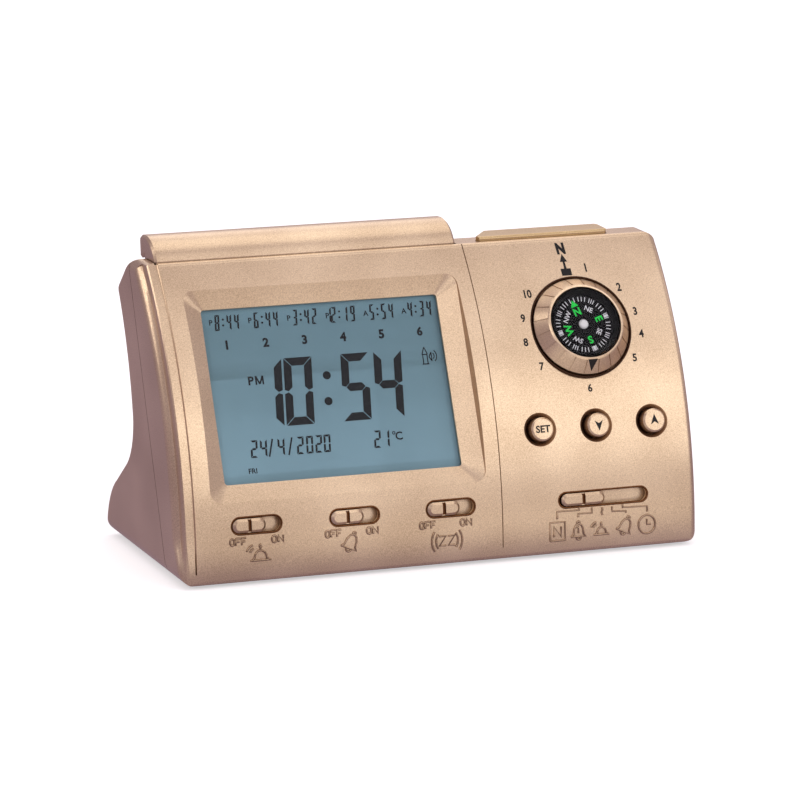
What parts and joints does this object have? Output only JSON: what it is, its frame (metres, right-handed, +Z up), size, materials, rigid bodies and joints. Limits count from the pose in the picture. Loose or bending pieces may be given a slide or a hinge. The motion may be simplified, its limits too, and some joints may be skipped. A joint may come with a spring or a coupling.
{
  "type": "prayer alarm clock",
  "caption": "Table-top digital alarm clock with a curved front, bevelled display window, compass dial with turning knob, round keys, slide switches and press bars on top.",
  "frame": {"origin": "centre of the footprint on the plane that the rubber feet stand on", "axes": "+X to the right seen from the front, +Y from the front towards the back, +Z up"},
  "size_m": [0.168, 0.0751, 0.0991],
  "materials": {
    "champagne_satin": "satin metallic champagne lacquer on moulded ABS",
    "clear_acrylic": "polished clear acrylic",
    "lcd_glass": "grey-blue reflective liquid-crystal display behind glass",
    "white_plastic": "white moulded plastic",
    "grey_plastic": "grey moulded plastic",
    "black_plastic": "black moulded plastic",
    "dial_black": "black printed compass card",
    "circuit_board": "phenolic circuit board",
    "black_epoxy": "black epoxy",
    "bright_steel": "nickel-plated steel",
    "cell_sleeve": "plain shrink sleeve",
    "rubber_black": "moulded rubber",
    "paper_cone": "pressed paper",
    "brass_pin": "turned brass",
    "zebra_rubber": "layered conductive rubber"
  },
  "bodies": {
    "case": {"front_cover": "champagne_satin", "rear_cover": "champagne_satin", "display_lens": "clear_acrylic", "lcd_panel": "lcd_glass", "light_guide": "white_plastic", "backlight_led": "white_plastic", "lcd_holder": "white_plastic", "slide_switches": "grey_plastic", "selector_switch": "grey_plastic", "key_switches": "black_plastic", "top_switches": "black_plastic", "speaker_frame": "black_plastic", "main_board": "circuit_board", "key_board": "circuit_board", "switch_board": "circuit_board", "top_board": "circuit_board", "dial_contact_plate": "circuit_board", "processor_cap": "black_epoxy", "temperature_sensor": "black_epoxy", "quartz_crystal": "bright_steel", "board_screws": "bright_steel", "case_screws": "bright_steel", "battery_contacts": "bright_steel", "battery_springs": "bright_steel", "speaker_magnet": "bright_steel", "battery_cells": "cell_sleeve", "rubber_feet": "rubber_black", "speaker_cone": "paper_cone", "strip_connector": "zebra_rubber"},
    "snooze_bar": {"snooze_bar": "champagne_satin", "snooze_plungers": "black_plastic"},
    "light_key": {"light_key": "champagne_satin", "light_plunger": "black_plastic"},
    "set_key": {"set_key": "champagne_satin", "set_plunger": "black_plastic"},
    "down_key": {"down_key": "champagne_satin", "down_plunger": "black_plastic"},
    "up_key": {"up_key": "champagne_satin", "up_plunger": "black_plastic"},
    "left_slide": {"left_slide_knob": "champagne_satin"},
    "middle_slide": {"middle_slide_knob": "champagne_satin"},
    "right_slide": {"right_slide_knob": "champagne_satin"},
    "selector": {"selector_knob": "champagne_satin"},
    "dial": {"dial_ring": "champagne_satin", "dial_clip": "bright_steel", "dial_wiper": "bright_steel", "compass_capsule": "black_plastic", "compass_pivot": "brass_pin", "compass_crystal": "clear_acrylic"},
    "compass": {"compass_card": "dial_black", "compass_hub": "black_plastic", "compass_magnet": "bright_steel"},
    "battery_door": {"battery_door": "champagne_satin"}
  },
  "joints": [
    {"name": "snooze_press", "type": "slide", "parent": "case", "child": "snooze_bar", "axis": [0, 0, -1], "range_m": [0, 0.001], "stiffness_N_per_m": 900, "springref_m": -0.0006},
    {"name": "light_press", "type": "slide", "parent": "case", "child": "light_key", "axis": [0, 0, -1], "range_m": [0, 0.001], "stiffness_N_per_m": 900, "springref_m": -0.0004},
    {"name": "set_press", "type": "slide", "parent": "case", "child": "set_key", "axis": [0, 0.9578, -0.2874], "range_m": [0, 0.0008], "stiffness_N_per_m": 600, "springref_m": -0.0005},
    {"name": "down_press", "type": "slide", "parent": "case", "child": "down_key", "axis": [0, 0.9578, -0.2874], "range_m": [0, 0.0008], "stiffness_N_per_m": 600, "springref_m": -0.0005},
    {"name": "up_press", "type": "slide", "parent": "case", "child": "up_key", "axis": [0, 0.9578, -0.2874], "range_m": [0, 0.0008], "stiffness_N_per_m": 600, "springref_m": -0.0005},
    {"name": "left_switch_slide", "type": "slide", "parent": "case", "child": "left_slide", "axis": [1, 0, 0], "range_m": [0, 0.0048]},
    {"name": "middle_switch_slide", "type": "slide", "parent": "case", "child": "middle_slide", "axis": [1, 0, 0], "range_m": [0, 0.0048]},
    {"name": "right_switch_slide", "type": "slide", "parent": "case", "child": "right_slide", "axis": [1, 0, 0], "range_m": [0, 0.0048]},
    {"name": "selector_slide", "type": "slide", "parent": "case", "child": "selector", "axis": [1, 0, 0], "range_m": [0, 0.0136]},
    {"name": "dial_turn", "type": "hinge", "parent": "case", "child": "dial", "pos_m": [0.0517, -0.01954, 0.06775], "axis": [0, -0.8649, 0.5019], "continuous": true},
    {"name": "compass_turn", "type": "hinge", "parent": "dial", "child": "compass", "pos_m": [0.0517, -0.01954, 0.06775], "axis": [0, -0.8649, 0.5019], "continuous": true},
    {"name": "door_slide", "type": "slide", "parent": "case", "child": "battery_door", "axis": [0, 1, 0], "range_m": [0, 0.038]}
  ]
}
